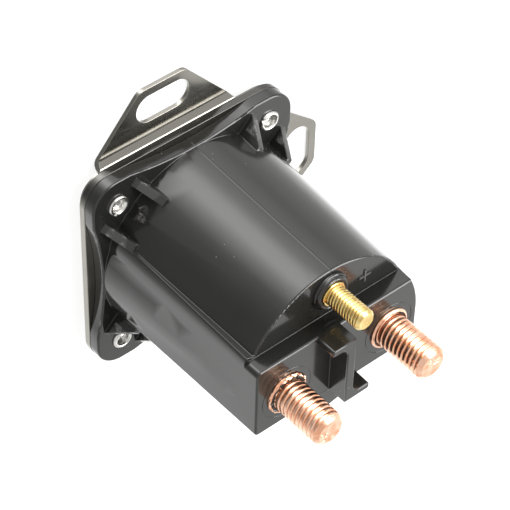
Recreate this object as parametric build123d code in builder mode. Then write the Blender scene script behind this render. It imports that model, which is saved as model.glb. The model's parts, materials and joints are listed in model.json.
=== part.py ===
from build123d import *
from math import radians, sqrt, tan
import os

os.makedirs("parts", exist_ok=True)

# A sealed four-rivet solenoid relay. Z runs along the plunger, studs up, and z = 0 is the mounting
# plane at the back of the two slotted ears. Millimetres.

# Bracket, end plate and the flange that the four rivets clamp together
bracket_thickness = 1.0
ear_setback = 2.0
plate_thickness = 1.7
plate_width = 54.6
flange_thickness = 2.9
flange_margin = 0.2
rivet_pitch = 41.3
bracket_margin = 0.9

# Ears: the top ear stands out along +Y and the side ear along +X
ear_reach = 41.0
ear_root = 27.9
ear_joggle_run = 1.0
ear_bend_radius = 0.9
ear_root_width = 37.0
ear_tip_width = 12.2
ear_corner_radius = 3.0
top_ear_shift = -3.2
side_ear_shift = -2.1
slot_length = 14.2
slot_width = 7.1
slot_reach = 35.3

# Housing: a tapered barrel with square shoulders under its terminal bar
housing_depth = 46.3
bar_rise = 4.0
lobe_drop = 1.0
lobe_half_width = 6.8
roof_wall = 1.8
disc_roof_gap = 0.4
head_roof_gap = 1.0
end_wall = 3.5
barrel_radius = 25.0
barrel_draft = 3.1
shoulder_depth = 9.5
shoulder_draft = 0.9
shoulder_corner = 1.0
bar_top_edge = 9.9
bar_end_radius = 1.3
side_stand = 0.1
side_flat_edge = 10.3
side_bevel_base = 2.4
side_bevel_end = 0.9
side_bevel_slope = 0.6
side_ridge_run = 1.6
side_ridge_fall = 0.7
rim_radius = 0.5
waist_depth = 2.0
waist_half_length = 17.0
flange_edge_radius = 0.5
housing_wall = 3.8
contact_chamber_step = 1.0
gusset_thickness = 2.0
gusset_spread = 5.9
gusset_rise = 6.4
gusset_run = 4.7
rivet_pocket_radius = 4.7

# Z-shaped barrier on the terminal bar
barrier_height = 5.1
barrier_draft = 1.0
barrier_web = 2.4
barrier_web_right = 0.15
barrier_wall = 1.9
barrier_cap_reach = 6.5
barrier_foot_reach = 4.8
barrier_end_gap = 0.6
barrier_inner_radius = 2.2
barrier_end_radius = 0.7
barrier_rim_radius = 0.35

# Power studs, copper, M8, and the coil stud, brass, M5
power_head_gap = 0.4
power_stud_y = -1.0
power_stud_radius = 4.0
power_stud_reach = 13.75
power_collar_radius = 5.1
power_collar_height = 0.9
power_head_radius = 5.6
power_neck_width = 8.6
power_neck_depth = 2.5
coil_stud_y = 16.8
coil_stud_radius = 2.5
coil_stud_reach = 11.4
coil_boss_radius = 4.2
coil_boss_height = 1.3
coil_head_flats = 8.0
coil_head_height = 2.3
coil_head_clearance = 0.05
coil_neck_radius = 3.0
coil_neck_height = 0.5
seat_groove_radius = 6.4
seat_groove_width = 0.2
seat_groove_depth = 0.12
stud_chamfer_share = 0.2

# Rivets
rivet_radius = 2.0
rivet_bore = 1.5
rivet_head_radius = 3.2
rivet_head_height = 0.5
rivet_rim_radius = 2.55
rivet_rim_height = 0.75
rivet_rim_curve = 0.6
rivet_floor = 1.6

# Coil and its iron
yoke_wall = 1.5
yoke_clearance = 0.2
yoke_length = 26.3
flux_plate_thickness = 2.5
coil_end_play = 0.2
earth_lead_room = 1.5
bobbin_flange_thickness = 1.2
bobbin_side_play = 0.3
bobbin_wall = 1.1
sleeve_wall = 0.4
winding_inset = 2.6
wrap_thickness = 0.4

# Plunger, fixed core and rod
plunger_radius = 6.62
plunger_clearance = 0.08
plunger_length = 10.5
plunger_travel = 2.8
plunger_end_gap = 0.2
bumper_thickness = 0.8
bumper_radius = 6.2
counterbore_radius = 4.2
plunger_counterbore = 6.0
core_counterbore = 4.0
rod_radius = 2.0
rod_tip_radius = 1.5
rod_clearance = 0.25
rod_seat_depth = 3.5
core_neck_radius = 5.0
core_stake_height = 0.4
spring_wire = 0.8
spring_turns = 6

# Moving contact, carried on the rod
contact_overtravel = 0.6
contact_stop_clearance = 0.02
seat_gap = 0.5
seat_thickness = 0.8
seat_radius = 4.4
contact_spring_length = 4.6
contact_spring_wire = 0.9
contact_spring_turns = 3
insulator_thickness = 1.0
insulator_radius = 5.0
insulator_sleeve_radius = 2.8
insulator_clearance = 0.05
disc_thickness = 1.6
disc_radius = 12.8
clip_thickness = 0.8
clip_radius = 3.2
clip_groove_radius = 1.1
clip_opening = 1.8
rod_end = 0.3

# Leads and seal
lead_radius = 0.6
lead_hole_clearance = 0.4
lead_inset = 0.8
start_lead_step = 1.4
start_lead_bend = 3.0
earth_lead_run = 3.0
earth_lead_bend = 1.2
seal_land = 1.0
seal_width = 1.4
seal_depth = 0.9

# Heights that follow
bracket_back = ear_setback
plate_back = bracket_back + bracket_thickness
plate_front = plate_back + plate_thickness
flange_front = plate_front + flange_thickness
ledge_top = plate_front + housing_depth
bar_top = ledge_top + bar_rise
lobe_top = ledge_top - lobe_drop
chamber_end = ledge_top - end_wall
yoke_end = plate_front + yoke_length
flux_top = yoke_end + flux_plate_thickness
bobbin_base = plate_front + earth_lead_room
bobbin_end = yoke_end - coil_end_play
winding_base = bobbin_base + bobbin_flange_thickness
winding_end = bobbin_end - bobbin_flange_thickness
plunger_base = plate_front + bumper_thickness
plunger_end = plunger_base + plunger_length
core_base = plunger_end + plunger_travel + plunger_end_gap
core_end = flux_top + core_stake_height
seat_base = core_end + seat_gap
seat_top = seat_base + seat_thickness
insulator_base = seat_top + contact_spring_length
disc_base = insulator_base + insulator_thickness
disc_top = disc_base + disc_thickness
clip_base = disc_top + insulator_thickness
clip_top = clip_base + clip_thickness
rod_top = clip_top + rod_end
power_head_base = disc_top + plunger_travel - contact_overtravel + contact_stop_clearance
coil_head_base = chamber_end - coil_head_height
disc_roof = power_head_base + disc_roof_gap
low_end_top = disc_roof + roof_wall
coil_boss_top = ledge_top + coil_boss_height

# Radii and places that follow
coil_chamber_radius = barrel_radius - housing_wall
contact_chamber_radius = coil_chamber_radius - contact_chamber_step
seal_inner_radius = coil_chamber_radius + seal_land
yoke_radius = coil_chamber_radius - yoke_clearance
bobbin_flange_radius = yoke_radius - yoke_wall - bobbin_side_play
winding_radius = bobbin_flange_radius - winding_inset
sleeve_bore = plunger_radius + plunger_clearance
sleeve_radius = sleeve_bore + sleeve_wall
start_lead_y = winding_radius - lead_inset
earth_lead_y = -start_lead_y
rivet_offset = rivet_pitch / 2
corner_radius = plate_width / 2 - rivet_offset
power_stud_x = contact_chamber_radius - power_head_radius - power_head_gap
high_roof_edge = power_stud_y - power_head_radius - head_roof_gap


def rivet_places():
    return GridLocations(rivet_pitch, rivet_pitch, 2, 2)


# End plate: the flat steel cover that closes the housing
with BuildPart() as end_plate:
    with BuildSketch(Plane.XY.offset(plate_back)):
        RectangleRounded(plate_width, plate_width, corner_radius)
        with rivet_places():
            Circle(rivet_radius, mode=Mode.SUBTRACT)
    extrude(amount=plate_thickness)
end_plate.part.label = "end_plate"
export_step(end_plate.part, "parts/end_plate.step")


# Mounting bracket: one sheet behind the end plate, its two ears set back clear of the rivet heads
bracket_width = plate_width - 2 * bracket_margin
sheet_middle = bracket_thickness / 2
with BuildPart() as mounting_bracket:
    for profile_plane in (Plane.YZ, Plane.XZ):
        with BuildSketch(profile_plane):
            with BuildLine() as sheet_line:
                FilletPolyline(
                    (0, bracket_back + sheet_middle),
                    (ear_root - ear_joggle_run, bracket_back + sheet_middle),
                    (ear_root, sheet_middle),
                    (ear_reach, sheet_middle),
                    radius=ear_bend_radius,
                )
            trace(sheet_line.line, bracket_thickness)
        extrude(amount=bracket_width / 2, both=True)
    with BuildSketch(Plane.XY.offset(bracket_back)):
        Rectangle(bracket_width, bracket_width)
    extrude(amount=bracket_thickness)
    with BuildSketch():
        RectangleRounded(bracket_width, bracket_width, corner_radius - bracket_margin)
        for shift, turn in ((top_ear_shift, 0), (-side_ear_shift, -90)):
            with BuildSketch(mode=Mode.PRIVATE) as ear:
                with BuildLine():
                    Polyline(
                        (shift - ear_root_width / 2, 0),
                        (shift - ear_root_width / 2, ear_root - ear_joggle_run),
                        (shift - ear_tip_width / 2, ear_reach),
                        (shift + ear_tip_width / 2, ear_reach),
                        (shift + ear_root_width / 2, ear_root - ear_joggle_run),
                        (shift + ear_root_width / 2, 0),
                        close=True,
                    )
                make_face()
                fillet(ear.vertices().group_by(Axis.Y)[-1], ear_corner_radius)
                with Locations((shift, slot_reach)):
                    SlotOverall(slot_length, slot_width, mode=Mode.SUBTRACT)
            add(ear.sketch.rotate(Axis.Z, turn))
        with rivet_places():
            Circle(rivet_radius, mode=Mode.SUBTRACT)
    extrude(amount=plate_back, mode=Mode.INTERSECT)
mounting_bracket.part.label = "mounting_bracket"
export_step(mounting_bracket.part, "parts/mounting_bracket.step")


# Flange outline: a square with corner lobes round the rivets and a shallow waist on each side
flange_width = plate_width - flange_margin
with BuildSketch(Plane.XY, mode=Mode.PRIVATE) as flange_outline:
    RectangleRounded(flange_width, flange_width, corner_radius - flange_margin / 2)
    with PolarLocations(flange_width / 2, 4):
        with BuildSketch(mode=Mode.PRIVATE) as waist:
            with BuildLine():
                ThreePointArc((0, -waist_half_length), (-waist_depth, 0), (0, waist_half_length))
                Line((0, waist_half_length), (0, -waist_half_length))
            make_face()
        add(waist.sketch, mode=Mode.SUBTRACT)

with BuildPart() as flange_blank:
    with BuildSketch(Plane.XY.offset(plate_front)):
        add(flange_outline.sketch)
    extrude(amount=flange_thickness)
    fillet(flange_blank.edges().group_by(Axis.Z)[-1], flange_edge_radius)

# Barrel with square shoulders, stepped down to the ledge above the bar and to the lobe below it
body_height = bar_top - plate_front
bar_radius = barrel_radius - body_height * tan(radians(barrel_draft))
shoulder_base_half = bar_radius + body_height * tan(radians(shoulder_draft))
step_width = 2 * barrel_radius
ledge_half = bar_radius + bar_rise * tan(radians(shoulder_draft))


# What lies above the left side at one height: the side is a flat that ends in a bevelled ridge
def above_side(height, half_width, bevel):
    bevel_run = side_bevel_slope * bevel
    ridge_x = bevel_run - half_width
    ridge_y = side_flat_edge + bevel
    with BuildSketch(Plane.XY.offset(height), mode=Mode.PRIVATE) as section:
        with BuildLine():
            Polyline(
                (-half_width - bevel_run, step_width),
                (-half_width - bevel_run, side_flat_edge - bevel),
                (ridge_x, ridge_y),
                (ridge_x + side_ridge_run, ridge_y - side_ridge_fall),
                (0, ridge_y - side_ridge_fall),
                (0, step_width),
                close=True,
            )
        make_face()
    return section.sketch


# One shoulder: a block beside the barrel, from below the bar up to a given reach
def shoulder(side, stand, reach):
    with BuildPart() as block:
        with BuildSketch(Plane.XZ.offset(shoulder_depth)):
            with BuildLine():
                Polyline(
                    (0, plate_front),
                    (side * (shoulder_base_half + stand), plate_front),
                    (side * (bar_radius + stand), bar_top),
                    (0, bar_top),
                    close=True,
                )
            make_face()
        extrude(amount=reach, dir=(0, 1, 0))
        lower_edges = block.faces().sort_by(Axis.Y)[0].edges()
        corner_edge = lower_edges.sort_by_distance((side * barrel_radius, -shoulder_depth, chamber_end))[0]
        fillet(corner_edge, shoulder_corner)
    return block.part


with BuildPart() as left_side:
    add(shoulder(-1, side_stand, shoulder_depth + barrel_radius))
    above_base = above_side(plate_front, shoulder_base_half + side_stand, side_bevel_base)
    above_end = above_side(ledge_top, ledge_half + side_stand, side_bevel_end)
    loft([above_base, above_end], ruled=True, mode=Mode.SUBTRACT)

with BuildPart() as body_blank:
    with BuildSketch(Plane.XY.offset(plate_front)):
        Circle(barrel_radius)
    extrude(amount=body_height, taper=barrel_draft)
    add(shoulder(1, 0, shoulder_depth))
    add(left_side.part)
    with BuildSketch(Plane.XY.offset(ledge_top)):
        with Locations((0, bar_top_edge)):
            Rectangle(step_width, step_width, align=(Align.CENTER, Align.MIN))
    extrude(amount=bar_rise, mode=Mode.SUBTRACT)
    bar_end = body_blank.edges().sort_by_distance((-bar_radius, bar_top_edge, bar_top - bar_rise / 2))[0]
    fillet(bar_end, bar_end_radius)
    with BuildSketch(Plane.XY.offset(lobe_top)):
        with Locations((0, -shoulder_depth)):
            Rectangle(step_width, step_width, align=(Align.CENTER, Align.MAX))
    extrude(amount=bar_top - lobe_top, mode=Mode.SUBTRACT)
    for side, reach in ((-1, Align.MAX), (1, Align.MIN)):
        with BuildSketch(Plane.XY.offset(low_end_top)):
            with Locations((side * lobe_half_width, -shoulder_depth)):
                Rectangle(step_width, step_width, align=(reach, Align.MAX))
        extrude(amount=lobe_top - low_end_top, mode=Mode.SUBTRACT)
    fillet(body_blank.faces().sort_by(Axis.Z)[-1].edges(), rim_radius)
    ledge_face = body_blank.faces().filter_by(Axis.Z).group_by(Axis.Z)[-2]
    fillet(ledge_face.edges().filter_by(GeomType.CIRCLE), rim_radius)

# Z-shaped barrier between the power studs: a cap at the top of its web and a foot at the bottom
barrier_top = bar_top_edge
barrier_bottom = barrier_end_gap - shoulder_depth
web_left = barrier_web_right - barrier_web
with BuildPart() as barrier:
    with BuildSketch(Plane.XY.offset(bar_top)) as barrier_outline:
        with Locations((web_left, barrier_bottom)):
            Rectangle(barrier_web, barrier_top - barrier_bottom, align=Align.MIN)
        with Locations((barrier_web_right, barrier_top)):
            Rectangle(barrier_cap_reach + barrier_web_right, barrier_wall, align=Align.MAX)
        with Locations((web_left, barrier_bottom)):
            Rectangle(barrier_foot_reach - web_left, barrier_wall, align=Align.MIN)
        corners = barrier_outline.vertices()
        cap_corner = corners.sort_by_distance((web_left, barrier_top - barrier_wall))[0]
        foot_corner = corners.sort_by_distance((barrier_web_right, barrier_bottom + barrier_wall))[0]
        fillet([cap_corner, foot_corner], barrier_inner_radius)
        ends = barrier_outline.vertices()
        fillet(ends.group_by(Axis.X)[0] + ends.group_by(Axis.X)[-1], barrier_end_radius)
    extrude(amount=barrier_height, taper=barrier_draft)
    fillet(barrier.faces().sort_by(Axis.Z)[-1].edges(), barrier_rim_radius)
    extrude(barrier_outline.sketch, amount=-rim_radius)

# Gusset: a sloping wall beside each rivet, from the flange corner up to the barrel
rivet_axis_distance = rivet_offset * sqrt(2)
with BuildPart() as gusset:
    with BuildSketch(Plane.XZ):
        with BuildLine():
            Polyline(
                (contact_chamber_radius, flange_front),
                (rivet_axis_distance, flange_front),
                (rivet_axis_distance - gusset_run, flange_front + gusset_rise),
                (contact_chamber_radius, flange_front + gusset_rise),
                close=True,
            )
        make_face()
    extrude(amount=gusset_thickness / 2, both=True)

# Housing: flange, body, gussets and barrier moulded as one cup
coil_stud_point = (0, coil_stud_y)
power_stud_points = [(-power_stud_x, power_stud_y), (power_stud_x, power_stud_y)]
with BuildPart() as housing:
    add(flange_blank.part)
    add(body_blank.part)
    add(barrier.part)
    with PolarLocations(0, 4, start_angle=45):
        with Locations((0, -gusset_spread), (0, gusset_spread)):
            add(gusset.part)
    with BuildSketch(Plane.XY.offset(flange_front)):
        with rivet_places():
            Circle(rivet_pocket_radius)
    extrude(amount=body_height, mode=Mode.SUBTRACT)
    with BuildSketch(Plane.XY.offset(ledge_top)):
        with Locations(coil_stud_point):
            Circle(coil_boss_radius)
    extrude(amount=coil_boss_height, taper=barrier_draft)
    with BuildSketch(Plane.XY.offset(plate_front)):
        Circle(coil_chamber_radius)
    extrude(amount=flux_top - plate_front, mode=Mode.SUBTRACT)
    with BuildSketch(Plane.XY.offset(plate_front)):
        Circle(contact_chamber_radius)
    extrude(amount=disc_roof - plate_front, mode=Mode.SUBTRACT)
    with BuildSketch(Plane.XY.offset(plate_front)):
        Circle(contact_chamber_radius)
        with Locations((0, high_roof_edge)):
            Rectangle(step_width, step_width, align=(Align.CENTER, Align.MIN), mode=Mode.INTERSECT)
    extrude(amount=chamber_end - plate_front, mode=Mode.SUBTRACT)
    with BuildSketch(Plane.XY.offset(flux_top)):
        with Locations(coil_stud_point):
            RegularPolygon(coil_head_flats / 2 + coil_head_clearance, 6, major_radius=False)
    extrude(amount=chamber_end - flux_top, mode=Mode.SUBTRACT)
    with BuildSketch(Plane.XY.offset(plate_front)):
        Circle(seal_inner_radius + seal_width)
        Circle(seal_inner_radius, mode=Mode.SUBTRACT)
    extrude(amount=seal_depth, mode=Mode.SUBTRACT)
    with BuildSketch(Plane.XY.offset(plate_front)):
        with rivet_places():
            Circle(rivet_radius)
    extrude(amount=flange_thickness, mode=Mode.SUBTRACT)
    with BuildSketch(Plane.XY.offset(chamber_end)):
        with Locations(power_stud_points):
            Circle(power_stud_radius)
        with Locations(coil_stud_point):
            Circle(coil_neck_radius)
    extrude(amount=bar_top - chamber_end, mode=Mode.SUBTRACT)
    with BuildSketch(Plane.XY.offset(chamber_end)):
        with Locations(power_stud_points):
            Rectangle(power_neck_width, power_neck_width)
    extrude(amount=power_neck_depth, mode=Mode.SUBTRACT)
    with BuildSketch(Plane.XY.offset(bar_top)):
        with Locations(power_stud_points):
            Circle(seat_groove_radius + seat_groove_width)
            Circle(seat_groove_radius, mode=Mode.SUBTRACT)
    extrude(amount=-seat_groove_depth, mode=Mode.SUBTRACT)
housing.part.label = "housing"
export_step(housing.part, "parts/housing.step")


# Rivets: semi-tubular, preformed head behind the bracket, rim rolled over on the flange
rivet_head_back = bracket_back - rivet_head_height
rivet_end = flange_front + rivet_rim_height
with BuildPart() as flange_rivets:
    with BuildSketch(Plane.XZ) as rivet_half:
        with BuildLine():
            Polyline(
                (0, rivet_head_back),
                (rivet_head_radius, rivet_head_back),
                (rivet_head_radius, bracket_back),
                (rivet_radius, bracket_back),
                (rivet_radius, flange_front),
                (rivet_rim_radius, flange_front),
                (rivet_rim_radius, rivet_end),
                (rivet_bore, rivet_end),
                (rivet_bore, bracket_back + rivet_floor),
                (0, bracket_back + rivet_floor),
                close=True,
            )
        make_face()
        rim_corner = rivet_half.vertices().sort_by_distance((rivet_rim_radius, rivet_end))[0]
        fillet(rim_corner, rivet_rim_curve)
    revolve(axis=Axis.Z)
    rivet = flange_rivets.part
with BuildPart() as flange_rivets:
    with rivet_places():
        add(rivet)
flange_rivets.part.label = "flange_rivets"
export_step(flange_rivets.part, "parts/flange_rivets.step")


# Power studs: the heads inside are the fixed contacts, the square necks stop them turning
def power_stud(place):
    x, y = place
    tip = bar_top + power_stud_reach
    with BuildPart() as stud:
        with BuildSketch(Plane.XY.offset(power_head_base)):
            with Locations(place):
                Circle(power_head_radius)
        extrude(amount=chamber_end - power_head_base)
        with BuildSketch(Plane.XY.offset(chamber_end)):
            with Locations(place):
                Rectangle(power_neck_width, power_neck_width)
        extrude(amount=power_neck_depth)
        with BuildSketch(Plane.XY.offset(chamber_end)):
            with Locations(place):
                Circle(power_stud_radius)
        extrude(amount=tip - chamber_end)
        chamfer(stud.faces().sort_by(Axis.Z)[-1].edges(), power_stud_radius * stud_chamfer_share)
        with BuildSketch(Plane.XY.offset(bar_top)):
            with Locations(place):
                Circle(power_collar_radius)
        extrude(amount=power_collar_height)
    return stud.part


for name, place in zip(("left_power_stud", "right_power_stud"), power_stud_points):
    stud_part = power_stud(place)
    stud_part.label = name
    export_step(stud_part, "parts/" + name + ".step")


# Coil stud: a brass screw with its hexagon head inside and a plain neck through the wall
with BuildPart() as coil_stud:
    with BuildSketch(Plane.XY.offset(coil_head_base)):
        with Locations(coil_stud_point):
            RegularPolygon(coil_head_flats / 2, 6, major_radius=False)
    extrude(amount=coil_head_height)
    with BuildSketch(Plane.XY.offset(chamber_end)):
        with Locations(coil_stud_point):
            Circle(coil_neck_radius)
    extrude(amount=coil_boss_top + coil_neck_height - chamber_end)
    with BuildSketch(Plane.XY.offset(coil_boss_top)):
        with Locations(coil_stud_point):
            Circle(coil_stud_radius)
    extrude(amount=ledge_top + coil_stud_reach - coil_boss_top)
    chamfer(coil_stud.faces().sort_by(Axis.Z)[-1].edges(), coil_stud_radius * stud_chamfer_share)
coil_stud.part.label = "coil_stud"
export_step(coil_stud.part, "parts/coil_stud.step")


# Seal ring in the groove of the flange
with BuildPart() as end_seal:
    with BuildSketch(Plane.XY.offset(plate_front)):
        Circle(seal_inner_radius + seal_width)
        Circle(seal_inner_radius, mode=Mode.SUBTRACT)
    extrude(amount=seal_depth)
end_seal.part.label = "end_seal"
export_step(end_seal.part, "parts/end_seal.step")


# Yoke: the steel tube round the coil
with BuildPart() as yoke_tube:
    with BuildSketch(Plane.XY.offset(plate_front)):
        Circle(yoke_radius)
        Circle(yoke_radius - yoke_wall, mode=Mode.SUBTRACT)
    extrude(amount=yoke_length)
yoke_tube.part.label = "yoke_tube"
export_step(yoke_tube.part, "parts/yoke_tube.step")


# Flux plate: the steel washer on top of the yoke that carries the fixed core
lead_hole_radius = lead_radius + lead_hole_clearance
with BuildPart() as flux_plate:
    with BuildSketch(Plane.XY.offset(yoke_end)):
        Circle(yoke_radius)
        Circle(core_neck_radius, mode=Mode.SUBTRACT)
        with Locations((0, start_lead_y)):
            Circle(lead_hole_radius, mode=Mode.SUBTRACT)
    extrude(amount=flux_plate_thickness)
flux_plate.part.label = "flux_plate"
export_step(flux_plate.part, "parts/flux_plate.step")


# Bobbin: a moulded spool with a hole in each flange for its lead
with BuildPart() as bobbin:
    with BuildSketch(Plane.XY.offset(bobbin_base)):
        Circle(sleeve_radius + bobbin_wall)
    extrude(amount=bobbin_end - bobbin_base)
    for flange_base, lead_y in ((bobbin_base, earth_lead_y), (winding_end, start_lead_y)):
        with BuildSketch(Plane.XY.offset(flange_base)):
            Circle(bobbin_flange_radius)
            with Locations((0, lead_y)):
                Circle(lead_radius, mode=Mode.SUBTRACT)
        extrude(amount=bobbin_flange_thickness)
    with BuildSketch(Plane.XY.offset(bobbin_base)):
        Circle(sleeve_radius)
    extrude(amount=bobbin_end - bobbin_base, mode=Mode.SUBTRACT)
bobbin.part.label = "bobbin"
export_step(bobbin.part, "parts/bobbin.step")


# Winding: the coil's turns as one solid, with its wrap of tape
with BuildPart() as winding:
    with BuildSketch(Plane.XY.offset(winding_base)):
        Circle(winding_radius)
        Circle(sleeve_radius + bobbin_wall, mode=Mode.SUBTRACT)
    extrude(amount=winding_end - winding_base)
winding.part.label = "winding"
export_step(winding.part, "parts/winding.step")

with BuildPart() as coil_wrap:
    with BuildSketch(Plane.XY.offset(winding_base)):
        Circle(winding_radius + wrap_thickness)
        Circle(winding_radius, mode=Mode.SUBTRACT)
    extrude(amount=winding_end - winding_base)
coil_wrap.part.label = "coil_wrap"
export_step(coil_wrap.part, "parts/coil_wrap.step")


# Guide sleeve: the brass tube in which the plunger slides
with BuildPart() as guide_sleeve:
    with BuildSketch(Plane.XY.offset(plate_front)):
        Circle(sleeve_radius)
        Circle(sleeve_bore, mode=Mode.SUBTRACT)
    extrude(amount=yoke_length)
guide_sleeve.part.label = "guide_sleeve"
export_step(guide_sleeve.part, "parts/guide_sleeve.step")


# Fixed core: staked into the flux plate, bored for the rod and counterbored for the return spring
with BuildPart() as fixed_core:
    with BuildSketch(Plane.XY.offset(core_base)):
        Circle(sleeve_bore)
    extrude(amount=yoke_end - core_base)
    with BuildSketch(Plane.XY.offset(yoke_end)):
        Circle(core_neck_radius)
    extrude(amount=core_end - yoke_end)
    chamfer(fixed_core.faces().sort_by(Axis.Z)[-1].edges(), core_stake_height / 2)
    with BuildSketch(Plane.XY.offset(core_base)):
        Circle(rod_radius + rod_clearance)
    extrude(amount=core_end - core_base, mode=Mode.SUBTRACT)
    with BuildSketch(Plane.XY.offset(core_base)):
        Circle(counterbore_radius)
    extrude(amount=core_counterbore, mode=Mode.SUBTRACT)
fixed_core.part.label = "fixed_core"
export_step(fixed_core.part, "parts/fixed_core.step")


# Bumper: the fibre disc that the plunger rests on
with BuildPart() as bumper_washer:
    with BuildSketch(Plane.XY.offset(plate_front)):
        Circle(bumper_radius)
    extrude(amount=bumper_thickness)
bumper_washer.part.label = "bumper_washer"
export_step(bumper_washer.part, "parts/bumper_washer.step")


# Plunger, with the rod pressed into its floor
with BuildPart() as plunger:
    with BuildSketch(Plane.XY.offset(plunger_base)):
        Circle(plunger_radius)
    extrude(amount=plunger_length)
    with BuildSketch(Plane.XY.offset(plunger_end)):
        Circle(counterbore_radius)
    extrude(amount=-plunger_counterbore, mode=Mode.SUBTRACT)
    with BuildSketch(Plane.XY.offset(plunger_end - plunger_counterbore)):
        Circle(rod_radius)
    extrude(amount=-rod_seat_depth, mode=Mode.SUBTRACT)
plunger.part.label = "plunger"
export_step(plunger.part, "parts/plunger.step")

rod_base = plunger_end - plunger_counterbore - rod_seat_depth
with BuildPart() as plunger_rod:
    with BuildSketch(Plane.XY.offset(rod_base)):
        Circle(rod_radius)
    extrude(amount=seat_base - rod_base)
    with BuildSketch(Plane.XY.offset(seat_base)):
        Circle(rod_tip_radius)
    extrude(amount=rod_top - seat_base)
    with BuildSketch(Plane.XY.offset(clip_base)):
        Circle(rod_tip_radius)
        Circle(clip_groove_radius, mode=Mode.SUBTRACT)
    extrude(amount=clip_thickness, mode=Mode.SUBTRACT)
plunger_rod.part.label = "plunger_rod"
export_step(plunger_rod.part, "parts/plunger_rod.step")


# Coil springs, wound between two heights on a mean radius
def coil_spring(label, bottom, top, mean_radius, wire, turns):
    rise = top - bottom - wire
    with BuildPart() as spring:
        with BuildLine() as wire_line:
            Helix(rise / turns, rise, mean_radius, center=(0, 0, bottom + wire / 2))
        with BuildSketch(Plane(origin=wire_line.line @ 0, z_dir=wire_line.line % 0)):
            Circle(wire / 2)
        sweep(path=wire_line.line, is_frenet=True)
    spring.part.label = label
    export_step(spring.part, "parts/" + label + ".step")


coil_spring(
    "return_spring",
    plunger_end - plunger_counterbore,
    core_base + core_counterbore,
    (counterbore_radius + rod_radius + rod_clearance) / 2,
    spring_wire,
    spring_turns,
)
coil_spring(
    "contact_spring",
    seat_top,
    insulator_base,
    seat_radius - contact_spring_wire,
    contact_spring_wire,
    contact_spring_turns,
)


# Round washers threaded on the rod
def rod_washer(label, bottom, thickness, radius, bore):
    with BuildPart() as washer:
        with BuildSketch(Plane.XY.offset(bottom)):
            Circle(radius)
            Circle(bore, mode=Mode.SUBTRACT)
        extrude(amount=thickness)
    washer.part.label = label
    export_step(washer.part, "parts/" + label + ".step")


insulator_bore = rod_tip_radius + insulator_clearance
rod_washer("spring_seat", seat_base, seat_thickness, seat_radius, rod_tip_radius)
rod_washer("contact_disc", disc_base, disc_thickness, disc_radius, insulator_sleeve_radius)
rod_washer("upper_insulator", disc_top, insulator_thickness, insulator_radius, insulator_bore)

# Lower insulator: a flanged bush whose sleeve centres the disc
with BuildPart() as lower_insulator:
    with BuildSketch(Plane.XY.offset(insulator_base)):
        Circle(insulator_radius)
    extrude(amount=insulator_thickness)
    with BuildSketch(Plane.XY.offset(disc_base)):
        Circle(insulator_sleeve_radius)
    extrude(amount=disc_thickness)
    with BuildSketch(Plane.XY.offset(insulator_base)):
        Circle(insulator_bore)
    extrude(amount=disc_top - insulator_base, mode=Mode.SUBTRACT)
lower_insulator.part.label = "lower_insulator"
export_step(lower_insulator.part, "parts/lower_insulator.step")

# Retaining clip: an open ring snapped into the rod's groove
with BuildPart() as retaining_clip:
    with BuildSketch(Plane.XY.offset(clip_base)):
        Circle(clip_radius)
        Circle(clip_groove_radius, mode=Mode.SUBTRACT)
        with Locations((clip_radius, 0)):
            Rectangle(2 * clip_radius, clip_opening, mode=Mode.SUBTRACT)
    extrude(amount=clip_thickness)
retaining_clip.part.label = "retaining_clip"
export_step(retaining_clip.part, "parts/retaining_clip.step")


# Leads, each a wire swept along its route
def lead(label, route, bend):
    with BuildPart() as wire:
        with BuildLine() as path:
            FilletPolyline(*route, radius=bend)
        with BuildSketch(Plane(origin=path.line @ 0, z_dir=path.line % 0)):
            Circle(lead_radius)
        sweep(path=path.line)
    wire.part.label = label
    export_step(wire.part, "parts/" + label + ".step")


step_start = flux_top + start_lead_bend
step_end = coil_head_base - start_lead_bend
lead(
    "start_lead",
    [
        (0, start_lead_y, winding_end),
        (0, start_lead_y, step_start),
        (0, start_lead_y + start_lead_step, step_end),
        (0, start_lead_y + start_lead_step, coil_head_base),
    ],
    start_lead_bend,
)
earth_lead_height = plate_front + lead_radius
lead(
    "earth_lead",
    [
        (0, earth_lead_y, winding_base),
        (0, earth_lead_y, earth_lead_height),
        (0, earth_lead_y - earth_lead_run, earth_lead_height),
    ],
    earth_lead_bend,
)
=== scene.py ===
import bpy
import bmesh
import json
import math
from mathutils import Matrix, Vector, noise


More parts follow.
